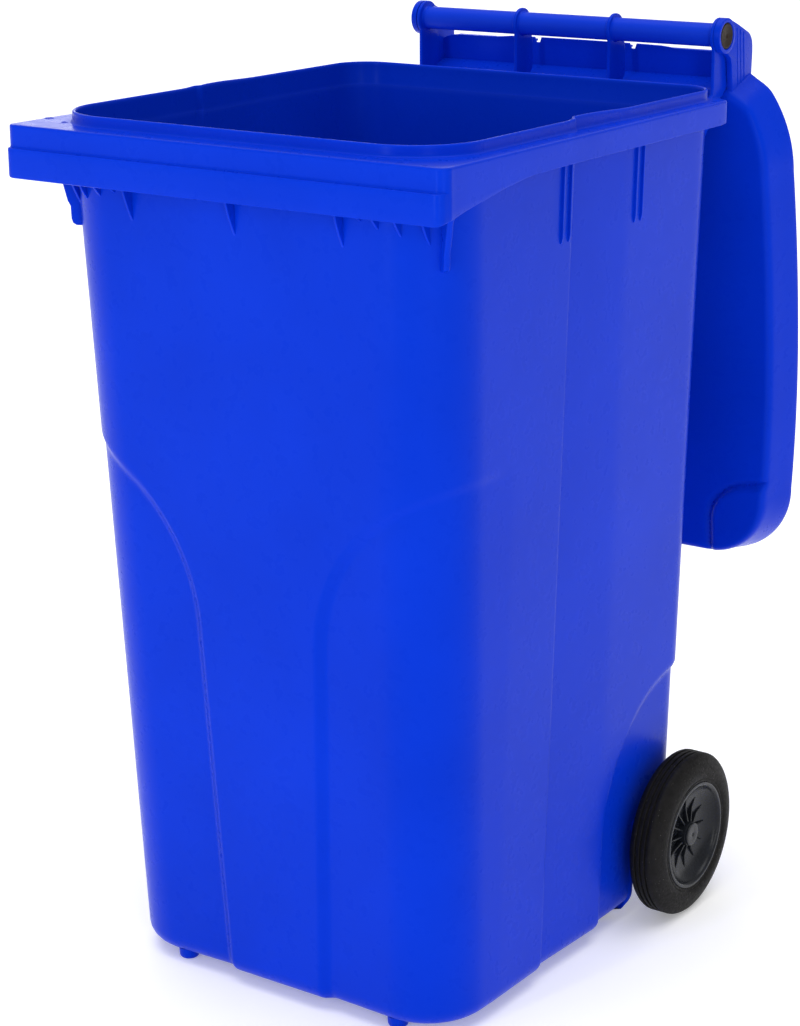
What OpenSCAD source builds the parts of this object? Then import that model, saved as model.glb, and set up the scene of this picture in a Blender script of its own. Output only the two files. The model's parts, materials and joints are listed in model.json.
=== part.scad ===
// Two-wheeled household refuse bin with a hinged lid that swings right over and hangs behind.
// Units are millimetres. Z is up, the front faces -Y, and the bin stands on z = 0.
// The shapes are laid out with y = 0 on the front face of the rim, and placed() moves
// them so that the origin is on the ground under the middle of the whole object.

/* [Rim and opening] */
// Width over the front of the rim
rim_w = 580; // [570:1:590]
// Width over the rear end of the side rims
rim_rear_w = 554; // [550:1:560]
// Length of the side rims from the front face
rim_len = 600; // [596:1:604]
// Height of the rim's flat top above the ground
rim_z = 1000; // [990:1:1004]
// Height of the neck round the opening above the rim
neck_h = 12.5; // [10:0.5:15]
// Depth of the side apron and of the front's upper step
apron_h = 27.6; // [24:0.2:30]
// How far the front's lower step stands forward
lip_out = 4.5; // [3:0.5:5]

/* [Body] */
// Thickness of the body's walls
wall = 4; // [3.5:0.5:4.5]
// Width of the body at its top
body_w = 521; // [519:1:522]
// Width of the body at its base
base_w = 471; // [468:1:474]
// Depth of the pressed-in corner panels
recess = 8; // [4:1:9]

/* [Handle and hinge] */
// Distance of the hinge line behind the rim's front face
hinge_y = 700; // [698:1:702]
// Height of the hinge line above the ground
hinge_z = 1061; // [1059:1:1062]
// Diameter of the handle bar
bar_d = 28; // [27:1:29]
// Diameter of the hinge pins' shanks
pin_d = 16; // [14:1:17]

/* [Lid] */
// Angle that the lid is swung open from closed
lid_open = 265; // [0:1:265]
// Thickness of the lid
lid_t = 3; // [2.5:0.5:3.5]
// Height of the lid's flat crown above the rim
crown_h = 55; // [53:1:56]

/* [Wheels and axle] */
// Wheel diameter over the tyre
wheel_d = 204; // [200:1:204]
// Width of the tyre
tyre_w = 46; // [42:1:46]
// Diameter of the steel axle
axle_d = 22; // [20:1:22]
// Distance of the axle behind the rim's front face
axle_y = 554; // [550:1:556]
// Radial running clearance of the wheels and the lid on their steel and pins
fit_gap = 0.08; // [0.04:0.01:0.1]

/* [Hidden] */

blue = [0.06, 0.17, 0.85];
dark_plastic = [0.16, 0.17, 0.19];
black_rubber = [0.05, 0.05, 0.05];
pin_brown = [0.16, 0.11, 0.09];
steel = [0.62, 0.63, 0.65];

frame_y = 407;          // the origin lies this far behind the rim's front face
seam_z = rim_z - 15;    // the tub ends here and the rim's neck begins
plate_t = 4;            // thickness of the rim's flat top
skin = 3.5;             // thickness of the aprons
neck_front = 29;        // front face of the neck
neck_rear = 615;        // rear face of the neck
neck_front_r = 81;
neck_rear_r = 47;
rim_corner_r = 20;
step_z = rim_z - apron_h;
lip_z = rim_z - 57.4;   // lower edge of the front's lower step
floor_t = 5;
base_z = 12;            // underside of the tub
notch_z = 130;          // the rear underside is cut away below here for the axle
notch_y = 505;
strap_t = 4.5;          // thickness of the handle's straps
strap_x = 210.25;       // middle of the outer straps
inner_strap_x = 67;
shelf_z = rim_z - 11;   // top of the shelf that carries the handle
shelf_rear = 709;       // its rear edge, just clear of the hanging lid
lug_in = 213.3;         // inner face of the lid's hinge lugs
lug_out = 221;
pin_head_r = 15.5;
lid_gap = 1.5;          // the closed lid stands this far above the rim
axle_r = axle_d / 2;
axle_z = wheel_d / 2;
wheel_x = 267;          // middle plane of the right wheel
rim_r = 66;             // the tyre's seat on the wheel
hub_r = 15.5;
groove_x = 252;         // middle of the axle's latch groove
latch_r = 3.9;
round_fn = 64;

function lerp(a, b, t) = a + (b - a) * t;
function spread(a, b, n) = [for (i = [0:n - 1]) lerp(a, b, i / (n - 1))];
function flat(lists) = [for (l = lists) each l];
function last_of(v) = v[len(v) - 1];
function arc(cx, cy, r, a0, a1, n = 9) =
  [for (a = spread(a0, a1, n)) [cx + r * cos(a), cy + r * sin(a)]];
function mirrored(pts) = [for (i = [len(pts) - 1:-1:0]) [-pts[i][0], pts[i][1]]];

// Puts a shape laid out from the rim's front face into the object's own frame.
module placed(colour) color(colour) translate([0, -frame_y, 0]) children();

// Extrudes a profile drawn in the (y, z) plane along X, centred on x.
module side_plate(x, t) {
  translate([x - t / 2, 0, 0]) rotate([90, 0, 90]) linear_extrude(t) children();
}

// A cylinder along X.
module rod_x(x0, x1, y, z, r) {
  translate([x0, y, z]) rotate([0, 90, 0]) cylinder(r = r, h = x1 - x0, $fn = round_fn);
}

// ---- Tub -------------------------------------------------------------------------

// The tub's plan at a height: half width, front, rear, front radius, rear radius.
function share(z) = z / seam_z;
function half_w(z) = lerp(base_w, body_w, share(z)) / 2;
function front_y(z) = lerp(77, 30, share(z));
function rear_y(z) = z < notch_z + 6 ? notch_y : lerp(594, 613, share(z));
function front_r(z) = 81;
function rear_r(z) = z < notch_z + 6 ? 10 : lerp(34, 47, share(z));

// The point at a distance along the right half of the plan, from the front's middle to
// the rear's middle, moved inwards by inset along the outline's normal.
function wall_point(p, z, inset) =
  let (w = half_w(z), f = front_y(z), b = rear_y(z), r = front_r(z), q = rear_r(z),
       l1 = w - r, l2 = l1 + r * PI / 2, l3 = l2 + b - f - r - q, l4 = l3 + q * PI / 2,
       a = (p - l1) / r * 180 / PI, c = (p - l3) / q * 180 / PI)
  p <= l1 ? [p, f + inset, z]
  : p <= l2 ? [l1 + (r - inset) * sin(a), f + r - (r - inset) * cos(a), z]
  : p <= l3 ? [w - inset, f + r + p - l2, z]
  : p <= l4 ? [w - q + (q - inset) * cos(c), b - q + (q - inset) * sin(c), z]
  : [w - q - (p - l4), b - inset, z];

function side_p(y, z) = half_w(z) - front_r(z) + front_r(z) * PI / 2 + y - front_y(z) - front_r(z);
function rear_p(z) = side_p(rear_y(z) - rear_r(z), z);
function end_p(z) = rear_p(z) + rear_r(z) * PI / 2 + half_w(z) - rear_r(z);

// The edge of a front corner panel: nearly upright, then a quarter circle.
panel_z = 440;
panel_r = 215;
panel_top = panel_z + panel_r;
function panel_p(z) =
  z < panel_z ? 64 + 0.04 * z
  : 81 + panel_r - sqrt(pow(panel_r, 2) - pow(min(z, panel_top) - panel_z, 2));

// The edge of a wheel recess on the side wall, in the same way.
arch_z = 130;
arch_r = 183;
arch_top = arch_z + arch_r;
function arch_y(z) =
  z < arch_z ? 411 : 411 + arch_r - sqrt(pow(arch_r, 2) - pow(min(z, arch_top) - arch_z, 2));

function fade(z, top) = max(0, min(1, (top - z) / 12));

// The columns of the right half at a height, as [distance along the plan, depth].
edge_w = 4;
channel_y = 285;
function columns(z) =
  let (p0 = panel_p(z), p1 = side_p(185, z), p2 = side_p(channel_y, z),
       arch = min(side_p(arch_y(z), z), rear_p(z) - 2 * edge_w),
       depth = recess * fade(z, panel_top), side_depth = recess * fade(z, arch_top),
       rear0 = rear_p(z), rear1 = rear0 + rear_r(z) * PI / 2, last = end_p(z))
  flat([
    [for (p = spread(0, p0 - edge_w, 12)) [p, 0]],
    [for (t = spread(0, 1, 10)) [lerp(p0 + edge_w, p1, t), depth * (1 - t)]],
    [[p2 - 8, 0], [p2, 5], [p2 + 45, 5], [lerp(p2 + 45, arch, 0.8), 0]],
    [[arch - edge_w, 0], [arch + edge_w, side_depth]],
    [for (t = spread(0.4, 1, 5)) [lerp(rear0, rear1, t), side_depth * (1 - t)]],
    [[lerp(rear1, last, 0.5), 0], [last, 0]]
  ]);

// One closed ring of the tub's skin, moved inwards by inset.
function ring(z, inset) =
  let (right = [for (c = columns(z)) wall_point(c[0], z, inset + c[1])], n = len(right))
  concat(right, [for (i = [n - 2:-1:1]) [-right[i][0], right[i][1], z]]);

// Heights of the rings as [outside, inside, rounding of the base edge].
levels = [
  [base_z, base_z + floor_t, 14], [base_z + 5, base_z + floor_t + 5, 5], [32, 34, 0],
  [notch_z - 2, notch_z + 3, 0], [notch_z + 10, notch_z + 16, 0], [220, 220, 0],
  [270, 270, 0], [arch_top - 13, arch_top - 13, 0], [arch_top, arch_top, 0],
  [panel_z, panel_z, 0], [510, 510, 0], [560, 560, 0], [600, 600, 0], [628, 628, 0],
  [panel_top - 12, panel_top - 12, 0], [panel_top, panel_top, 0], [seam_z, seam_z, 0]
];

module tub() {
  outer = [for (l = levels) ring(l[0], l[2])];
  inner = [for (l = levels) ring(l[1], l[2] + wall)];
  m = len(outer[0]);
  rows = len(levels);
  middle = (front_y(0) + notch_y) / 2;
  points = concat(flat(outer), flat(inner), [[0, middle, base_z], [0, middle, base_z + floor_t]]);
  inside = rows * m;
  base_mid = 2 * rows * m;
  skin_faces = [for (k = [0:rows - 2], i = [0:m - 1])
    let (a = k * m + i, b = k * m + (i + 1) % m)
    each [[a, a + m, b + m], [a, b + m, b],
          [inside + a, inside + b + m, inside + a + m], [inside + a, inside + b, inside + b + m]]];
  top = (rows - 1) * m;
  cap_faces = [for (i = [0:m - 1])
    let (j = (i + 1) % m)
    each [[top + i, inside + top + i, inside + top + j], [top + i, inside + top + j, top + j],
          [i, j, base_mid], [inside + j, inside + i, base_mid + 1]]];
  placed(blue) polyhedron(points, concat(skin_faces, cap_faces), convexity = 6);
}

// ---- Rim -------------------------------------------------------------------------

// The rim's plan, with its sides moved inwards by inset.
function rim_plan(inset, front = 0) =
  let (w = rim_w / 2 - inset, b = rim_rear_w / 2 - inset, r = rim_corner_r - inset,
       f = front + inset, right = concat(arc(w - r, f + r, r, -90, 0),
       arc(b - 12 + inset, rim_len - 12, 12 - inset, 0, 90, 5)))
  concat(right, mirrored(right));

// The neck's plan, moved inwards by inset.
function neck_plan(inset) =
  let (w = body_w / 2 + 0.5 - inset, r = neck_front_r - inset, q = neck_rear_r - inset,
       right = concat(arc(w - r, neck_front + inset + r, r, -90, 0, 13),
       arc(w - q, neck_rear - inset - q, q, 0, 90, 9)))
  concat(right, mirrored(right));

module band(z0, z1, outline, hole) {
  translate([0, 0, z0]) linear_extrude(z1 - z0) difference() {
    polygon(outline);
    polygon(hole);
  }
}

// Where a rounded front wall lies at a distance from the middle.
function front_wall(x, front, r, half) =
  let (over = max(0, abs(x) - half + r)) front + r - sqrt(pow(r, 2) - pow(over, 2));

// A gusset under the front of the rim, from the apron back to the tub's wall.
module front_gusset(x, t, drop) {
  inner = abs(x) - t / 2;
  low = lip_z - drop;
  neck = front_wall(inner, neck_front, neck_front_r, body_w / 2 + 0.5) + 1;
  side_plate(x, t) polygon([
    [0.5, lip_z + 3], [0.5, rim_z - 1], [neck, rim_z - 1], [neck, seam_z],
    [front_wall(inner, front_y(seam_z), front_r(seam_z), half_w(seam_z)) - 0.4, seam_z],
    [front_wall(inner, front_y(low), front_r(low), half_w(low)) - 0.4, low]
  ]);
}

// The thick upright gusset that stands diagonally in a front corner.
module corner_gusset(side) {
  reach = neck_front_r + 0.6;
  low_z = rim_z - 116;
  translate([side * (body_w / 2 - neck_front_r), neck_front + neck_front_r, 0])
    rotate([0, 0, side > 0 ? -45 : -135]) rotate([90, 0, 0])
      translate([0, 0, -3]) linear_extrude(6) polygon([
        [reach - 5, low_z], [reach + 6, low_z], [reach + 6, low_z + 24], [reach + 25, lip_z + 3],
        [reach + 55, lip_z + 8], [reach + 55, rim_z - 1], [reach, rim_z - 1], [reach, seam_z]
      ]);
}

// A pair of thin upright ribs on a side wall, just below the rim.
module side_ribs(side, y) {
  low = rim_z - 117;
  for (dy = [0, 14]) translate([0, y + dy + 1.4, 0]) rotate([90, 0, 0]) linear_extrude(2.8)
    polygon([
      [side * (half_w(low) + 0.3), low], [side * (half_w(low) + 4.8), low],
      [side * (body_w / 2 + 4.8), seam_z], [side * (body_w / 2 + 4.8), rim_z - 1],
      [side * (body_w / 2 + 0.3), rim_z - 1], [side * (body_w / 2 + 0.3), seam_z]
    ]);
}

// The deeper end of a side apron, which tapers away behind the front corner.
module apron_cheek(side) {
  narrowing = atan((rim_w - rim_rear_w) / 2 / rim_len);
  translate([side * rim_w / 2, rim_corner_r, 0]) rotate([0, 0, side * narrowing])
    side_plate(-side * skin / 2, skin)
      polygon([[-6, lip_z], [0, lip_z], [145, step_z], [145, step_z + 3], [-6, step_z + 3]]);
}

module rim_frame() {
  placed(blue) difference() {
    union() {
      band(rim_z - plate_t, rim_z, rim_plan(0), neck_plan(wall));
      band(seam_z, rim_z + neck_h, neck_plan(0), neck_plan(wall));
      difference() {
        band(step_z, rim_z, rim_plan(0), rim_plan(skin));
        translate([-body_w / 2, 40, step_z - 1]) cube([body_w, rim_len, rim_z]);
      }
      intersection() {
        union() {
          band(lip_z, step_z, rim_plan(0, -lip_out), rim_plan(skin, -lip_out));
          band(step_z - skin, step_z + 0.1, rim_plan(0, -lip_out), rim_plan(skin));
        }
        translate([-rim_w, -50, 0]) cube([2 * rim_w, 50 + rim_corner_r - lip_out, 2 * rim_z]);
      }
      front_gusset(0, 3, 42);
      for (side = [-1, 1]) {
        for (g = [[140, 41], [184, 14], [208, 22], [232, 32]]) front_gusset(side * g[0], 3, g[1]);
        apron_cheek(side);
        corner_gusset(side);
        for (y = [258, 412]) side_ribs(side, y);
      }
    }
    for (hole = [[-280, 62, 4], [-244, 47, 2.2]])
      translate([hole[0], hole[1], rim_z - plate_t - 1])
        cylinder(r = hole[2], h = plate_t + 2, $fn = round_fn);
  }
}

// ---- Handle ----------------------------------------------------------------------

module strap(x, lobe_r) {
  side_plate(x, strap_t) union() {
    translate([hinge_y, hinge_z]) circle(r = lobe_r, $fn = round_fn);
    polygon([
      [hinge_y - 15, shelf_z - 1], [shelf_rear, shelf_z - 1], [hinge_y + 23, shelf_z + 16],
      [hinge_y + 23, hinge_z], [hinge_y - 15, hinge_z]
    ]);
  }
}

module handle_gusset(x) {
  side_plate(x, strap_t) polygon([
    [neck_rear + 0.3, seam_z], [rear_y(seam_z) + 0.3, seam_z - 1],
    [rear_y(rim_z - 105) + 0.3, rim_z - 105], [690, rim_z - 32],
    [704, seam_z + 1], [704, seam_z + 3], [neck_rear + 0.3, seam_z + 3]
  ]);
}

module handle_frame() {
  placed(blue) difference() {
    union() {
      rod_x(-strap_x, strap_x, hinge_y, hinge_z, bar_d / 2);
      for (side = [-1, 1]) {
        strap(side * strap_x, 21);
        strap(side * inner_strap_x, 19);
        for (x = [strap_x, inner_strap_x]) handle_gusset(side * x);
      }
      translate([-strap_x - strap_t / 2, neck_rear + 0.3, shelf_z - 5])
        cube([2 * strap_x + strap_t, shelf_rear - neck_rear - 0.3, 5]);
    }
    rod_x(-300, 300, hinge_y, hinge_z, pin_d / 2);
  }
}

// ---- Axle brackets and feet -------------------------------------------------------

// Webs moulded under the rear of the tub that carry the axle.
module axle_web(x, t) {
  side_plate(x, t) union() {
    polygon([
      [notch_y, 44], [notch_y, notch_z - 2], [rear_y(notch_z + 10) - 2, notch_z + 9.7],
      [rear_y(notch_z + 10) - 2, notch_z - 6], [axle_y + 17, axle_z], [axle_y - 17, axle_z - 6]
    ]);
    translate([axle_y, axle_z]) circle(r = 18, $fn = round_fn);
  }
}

module axle_brackets() {
  placed(blue) difference() {
    union() {
      for (side = [-1, 1]) {
        axle_web(side * 100, 6);
        axle_web(side * 216, 8);
        rod_x(side > 0 ? 212 : -238, side > 0 ? 238 : -212, axle_y, axle_z, 16);
      }
    }
    rod_x(-300, 300, axle_y, axle_z, axle_r);
  }
}

// Two front feet that reach the ground, and the small studs along the base's sides.
module front_feet() {
  placed(blue) for (side = [-1, 1]) {
    translate([side * 153, 105, 0]) {
      cylinder(r1 = 9, r2 = 12, h = 4, $fn = round_fn);
      translate([0, 0, 4]) cylinder(r = 12, h = base_z - 4, $fn = round_fn);
    }
    for (y = [180, 380]) translate([side * 205, y, 5])
      cylinder(r = 8, h = base_z - 5, $fn = round_fn);
  }
}

// ---- Lid --------------------------------------------------------------------------

// The lid's plan when shut: bowed sides, round front corners, and rear corners that
// draw in towards the hinge. grow moves the outline outwards, rear is its rear end.
lid_front = 21;
lid_half = 285;
lid_corner_r = 78;
lid_rear_r = 165;
lid_rear_start = 530;
lid_rear = 645;
lip_y = 669.5;          // front face of the turned-down rear lip
function lid_side(y) = lid_half - 8 * pow((y - 330) / 230, 2);
function lid_plan(grow, rear) =
  let (f = lid_front - grow, w = lid_side(lid_front + lid_corner_r) + grow, r = lid_corner_r + grow,
       s = lid_side(lid_rear_start) + grow, q = lid_rear_r,
       right = concat(
         [[0, f]], arc(w - r, f + 0.5 + r, r, -86, 0, 8),
         [for (y = [160, 240, 330, 420, 480]) [lid_side(y) + grow, y]],
         [for (y = spread(lid_rear_start, rear, 7))
           [s - q + sqrt(pow(q, 2) - pow(y - lid_rear_start, 2)), y]]))
  concat(right, mirrored([for (i = [1:len(right) - 1]) right[i]]));

module lid_layer(z, grow, rear) translate([0, 0, z]) linear_extrude(0.02) polygon(lid_plan(grow, rear));

module lid_dome(t) {
  hull() {
    lid_layer(rim_z + lid_gap - (t > 0 ? 0.1 : 0), -t, lid_rear - t);
    lid_layer(rim_z + crown_h - 9 - t, -10 - t, lid_rear - 11 - t);
    lid_layer(rim_z + crown_h - 0.02 - t, -18 - t, lid_rear - 18 - t);
  }
}

// The hinge arm's side plate: the boss round the pin and the cheek down to the skirt.
module lid_lug(side) {
  side_plate(side * (lug_in + lug_out) / 2, lug_out - lug_in) union() {
    translate([hinge_y, hinge_z]) circle(r = 21, $fn = round_fn);
    polygon([
      [622, rim_z + lid_gap], [645, rim_z - 1.5], [677, rim_z - 4.5], [687, rim_z - 2],
      [694, rim_z + 4], [718.5, rim_z + 51], [700, rim_z + 66], [672, rim_z + 50.5],
      [622, rim_z + 47.5]
    ]);
  }
}

module lid_shut() {
  difference() {
    union() {
      difference() {
        lid_dome(0);
        lid_dome(lid_t);
      }
      translate([-lug_in - 1, lid_rear - 7, rim_z + 19])
        cube([2 * lug_in + 2, lip_y + lid_t - lid_rear + 7, lid_t]);
      translate([-lug_in - 1, lip_y, rim_z - 7]) cube([2 * lug_in + 2, lid_t, 29]);
      for (side = [-1, 1]) lid_lug(side);
    }
    for (x = [-inner_strap_x, inner_strap_x])
      translate([x - 5, lip_y - 2, rim_z - 8]) cube([10, 8, 8]);
    rod_x(-300, 300, hinge_y, hinge_z, pin_d / 2 + fit_gap);
    for (x0 = [-lug_out - 5, lug_out - 4.2])
      rod_x(x0, x0 + 9.2, hinge_y, hinge_z, pin_head_r + 0.3);
  }
}

module lid() {
  placed(blue) translate([0, hinge_y, hinge_z]) rotate([-lid_open, 0, 0])
    translate([0, -hinge_y, -hinge_z]) lid_shut();
}

// ---- Hinge pins -------------------------------------------------------------------

// The shank is pressed into the handle bar, and the head keeps the lid's lug on.
module lid_pin(side) {
  placed(pin_brown) translate([0, hinge_y, hinge_z]) rotate([0, side * 90, 0]) {
    translate([0, 0, 176]) cylinder(r1 = pin_d / 2 - 2, r2 = pin_d / 2, h = 4, $fn = round_fn);
    translate([0, 0, 180]) cylinder(d = pin_d, h = lug_out - 184, $fn = round_fn);
    translate([0, 0, lug_out - 4]) cylinder(r = pin_head_r, h = 2.8, $fn = round_fn);
    translate([0, 0, lug_out - 1.2]) cylinder(r1 = pin_head_r, r2 = pin_head_r - 1, h = 1, $fn = round_fn);
  }
}

module lid_pin_left() lid_pin(-1);
module lid_pin_right() lid_pin(1);

// ---- Axle and wheels --------------------------------------------------------------

module at_axle(side) translate([0, axle_y, axle_z]) rotate([0, side * 90, 0]) children();

module tube_z(z0, z1, r_out, r_in) {
  translate([0, 0, z0]) difference() {
    cylinder(r = r_out, h = z1 - z0, $fn = round_fn);
    translate([0, 0, -1]) cylinder(r = r_in, h = z1 - z0 + 2, $fn = round_fn);
  }
}

module axle() {
  end = 275;
  placed(steel) difference() {
    rod_x(-end, end, axle_y, axle_z, axle_r);
    for (side = [-1, 1]) at_axle(side) {
      tube_z(groove_x - 4.5, groove_x + 4.5, axle_r + 1, axle_r - 2.5);
      tube_z(end - 1, end + 1, axle_r + 1, axle_r - 1);
    }
  }
}

module washer(side) placed(steel) at_axle(side) tube_z(238.3, 241.7, 17, axle_r + fit_gap);
module washer_left() washer(-1);
module washer_right() washer(1);

// The tyre's section as [radius, distance from the middle plane], outer side positive.
module tyre_section() {
  h = tyre_w / 2;
  r = wheel_d / 2;
  tread = [for (x = [-9, 0, 9]) each [[r, x - 1.6], [r - 2, x - 1.2], [r - 2, x + 1.2], [r, x + 1.6]]];
  wall = [[rim_r, h - 4], [rim_r + 3, h - 1.5], [rim_r + 11, h], [rim_r + 20, h - 1.2],
          [r - 8, h - 4], [r - 3, h - 7], [r - 0.8, h - 9.5], [r, h - 11.5]];
  polygon(concat([for (q = wall) [q[0], -q[1]]], tread, [for (i = [len(wall) - 1:-1:0]) wall[i]]));
}

module tyre(side) {
  placed(black_rubber) at_axle(side) translate([0, 0, wheel_x])
    rotate_extrude($fn = 96) tyre_section();
}
module tyre_left() tyre(-1);
module tyre_right() tyre(1);

// Barrel, dished web and ribs, the hub, and the short tube that houses the latch.
module wheel_rim(side) {
  barrel_h = tyre_w / 2 - 4;
  ribs = 12;
  placed(dark_plastic) at_axle(side) difference() {
    union() {
      translate([0, 0, wheel_x]) {
        rotate_extrude($fn = 96) polygon([
          [rim_r, -barrel_h], [rim_r, barrel_h], [rim_r + 1.5, barrel_h + 1.5],
          [rim_r - 1, barrel_h + 2.5], [rim_r - 4, barrel_h + 1], [rim_r - 7, barrel_h - 12],
          [34, -2], [14, -4], [14, -7], [34, -5.5], [rim_r - 4, barrel_h - 16], [rim_r - 4, -barrel_h]
        ]);
        for (i = [0:ribs - 1]) rotate([0, 0, i * 360 / ribs])
          translate([0, 1.1, 0]) rotate([90, 0, 0]) linear_extrude(2.2)
            polygon([[13, -12], [13, 9], [22, 6], [rim_r - 6, 8], [rim_r - 3.8, 8], [rim_r - 3.8, -12]]);
      }
      translate([0, 0, 242]) cylinder(r = hub_r, h = 281 - 242, $fn = round_fn);
      translate([0, 0, groove_x]) rotate([0, 90, 0]) cylinder(r = 7, h = 41, $fn = round_fn);
    }
    translate([0, 0, 200]) cylinder(r = axle_r + fit_gap, h = 100, $fn = round_fn);
    translate([0, 0, groove_x]) rotate([0, 90, 0]) cylinder(r = latch_r, h = 38, $fn = round_fn);
  }
}
module wheel_rim_left() wheel_rim(-1);
module wheel_rim_right() wheel_rim(1);

// A plug in the hub's bore with a round cover over the hub's end.
module hub_cap(side) {
  placed(dark_plastic) at_axle(side) difference() {
    union() {
      translate([0, 0, 277]) cylinder(r = axle_r + fit_gap, h = 4.5, $fn = round_fn);
      translate([0, 0, 281]) cylinder(r = 14.5, h = 2.5, $fn = round_fn);
      translate([0, 0, 283.5]) cylinder(r1 = 14.5, r2 = 13, h = 1, $fn = round_fn);
    }
    translate([0, 0, 283.8]) cylinder(r1 = 1.5, r2 = 2.5, h = 1, $fn = round_fn);
  }
}
module hub_cap_left() hub_cap(-1);
module hub_cap_right() hub_cap(1);

// The latch's nose runs in the axle's groove and keeps the wheel on.
module wheel_latch(side) {
  placed(pin_brown) at_axle(side) translate([0, 0, groove_x]) rotate([0, 90, 0]) {
    translate([0, 0, 9.2]) cylinder(r1 = latch_r - 1, r2 = latch_r - 0.1, h = 2.6, $fn = round_fn);
    translate([0, 0, 11.8]) cylinder(r = latch_r - 0.1, h = 12.2, $fn = round_fn);
    translate([0, 0, 24]) cylinder(r = 1.6, h = 4, $fn = round_fn);
  }
}
module wheel_latch_left() wheel_latch(-1);
module wheel_latch_right() wheel_latch(1);

// A coil spring between the latch and the closed end of its tube.
module latch_spring(side) {
  turns = 5;
  steps = 12;
  sides = 8;
  wire_r = 0.45;
  coil_r = 2.9;
  start = 24 + wire_r;
  end = 38 - wire_r;
  n = turns * steps;
  rings = [for (k = [0:n], j = [0:sides - 1])
    let (a = k * 360 / steps, b = j * 360 / sides, r = coil_r + wire_r * cos(b))
    [r * cos(a), r * sin(a), lerp(start, end, k / n) + wire_r * sin(b)]];
  walls = [for (k = [0:n - 1], j = [0:sides - 1])
    let (a = k * sides + j, b = k * sides + (j + 1) % sides)
    [a, b, b + sides, a + sides]];
  ends = [[for (j = [sides - 1:-1:0]) j], [for (j = [0:sides - 1]) n * sides + j]];
  placed(steel) at_axle(side) translate([0, 0, groove_x]) rotate([0, 90, 0])
    polyhedron(rings, concat(walls, ends), convexity = 8);
}
module latch_spring_left() latch_spring(-1);
module latch_spring_right() latch_spring(1);

tub();
rim_frame();
handle_frame();
axle_brackets();
front_feet();
lid();
lid_pin_left();
lid_pin_right();
axle();
washer_left();
washer_right();
wheel_rim_left();
wheel_rim_right();
tyre_left();
tyre_right();
hub_cap_left();
hub_cap_right();
wheel_latch_left();
wheel_latch_right();
latch_spring_left();
latch_spring_right();
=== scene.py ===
import json
import math

import bpy
import numpy as np
from mathutils import Matrix, Vector


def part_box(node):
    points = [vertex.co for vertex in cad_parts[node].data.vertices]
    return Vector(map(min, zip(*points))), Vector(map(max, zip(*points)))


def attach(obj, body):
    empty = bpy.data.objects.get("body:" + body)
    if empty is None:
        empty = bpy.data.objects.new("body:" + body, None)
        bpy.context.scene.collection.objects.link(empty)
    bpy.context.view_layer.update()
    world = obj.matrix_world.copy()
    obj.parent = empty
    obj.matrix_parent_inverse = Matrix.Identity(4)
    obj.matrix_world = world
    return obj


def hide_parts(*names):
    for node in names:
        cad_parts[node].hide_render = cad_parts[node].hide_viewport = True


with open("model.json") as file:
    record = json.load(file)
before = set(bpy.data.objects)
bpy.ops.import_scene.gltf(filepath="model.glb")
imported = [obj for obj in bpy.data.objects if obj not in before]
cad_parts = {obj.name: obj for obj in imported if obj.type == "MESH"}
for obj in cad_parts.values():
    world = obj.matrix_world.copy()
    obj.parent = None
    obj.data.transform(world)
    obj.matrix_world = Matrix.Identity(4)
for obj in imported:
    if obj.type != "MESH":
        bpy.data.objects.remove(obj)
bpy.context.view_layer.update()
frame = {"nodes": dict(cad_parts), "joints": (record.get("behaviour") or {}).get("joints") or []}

# ---- Sizes, in millimetres, with y measured back from the rim's front face ----

MM = 0.001
LIP_OUT = 4.5           # the front's lower step stands this far forward of the rim's front


def low(node):
    return np.array(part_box(node)[0]) / MM


def high(node):
    return np.array(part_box(node)[1]) / MM


JOINTS = {joint["name"]: np.array(joint["pos_m"]) / MM for joint in frame["joints"]}
FRONT = low("rim_frame")[1] + LIP_OUT           # the rim's front face in the row frame
HINGE_Y, HINGE_Z = JOINTS["lid_hinge"][1] - FRONT, JOINTS["lid_hinge"][2]
AXLE_Y, AXLE_Z = JOINTS["wheel_right_spin"][1] - FRONT, JOINTS["wheel_right_spin"][2]
WHEEL_X = JOINTS["wheel_right_spin"][0]

SEAM_Z = high("tub")[2]
BASE_Z = low("tub")[2]
RIM_Z = SEAM_Z + 15     # the flange's top face
NECK_TOP = high("rim_frame")[2]
LIP_Z = RIM_Z - 57.4    # the front apron's lower edge
STEP_Z = RIM_Z - 27.6   # the step in the front apron
RIM_HALF = 288.5
RIM_REAR_HALF = 277.0
RIM_END_Y = 606.0
RIM_CORNER = 13.0
RIM_END_CORNER = 12.0
WALL = 4.0
SKIN = 3.5
FLANGE = 4.0

TUB_TOP_HALF = high("tub")[0]
TUB_BASE_HALF = TUB_TOP_HALF - 25
NOTCH_Y = 505.0         # the rear wall stands here below the notch over the axle
NOTCH_Z = 130.0         # the notch's ceiling
RECESS = 8.0            # depth of the pressed-in corner panels

LID_OPEN = math.radians(265)
LID_GAP = 1.5           # the shut lid's skirt ends this far above the flange
CROWN = 55.0            # the shut lid's crown lies this far above the flange
LID_T = 3.0
TYRE_R = (high("tyre_right")[2] - low("tyre_right")[2]) / 2
TYRE_HALF = (high("tyre_right")[0] - low("tyre_right")[0]) / 2
SEAT_R = 66.0           # the tyre sits on the wheel rim at this radius


# ---- Small geometry helpers ----

def lerp(a, b, t):
    return a + (b - a) * t


def smooth(t):
    t = np.clip(t, 0.0, 1.0)
    return t * t * (3 - 2 * t)


def spread(a, b, count, end=True):
    return np.linspace(a, b, count, endpoint=end)


def arc(cx, cy, r, a0, a1, count):
    """Points on an arc, with its angles in degrees."""
    a = np.radians(spread(a0, a1, count))
    return np.stack([cx + r * np.cos(a), cy + r * np.sin(a)], 1)


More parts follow.
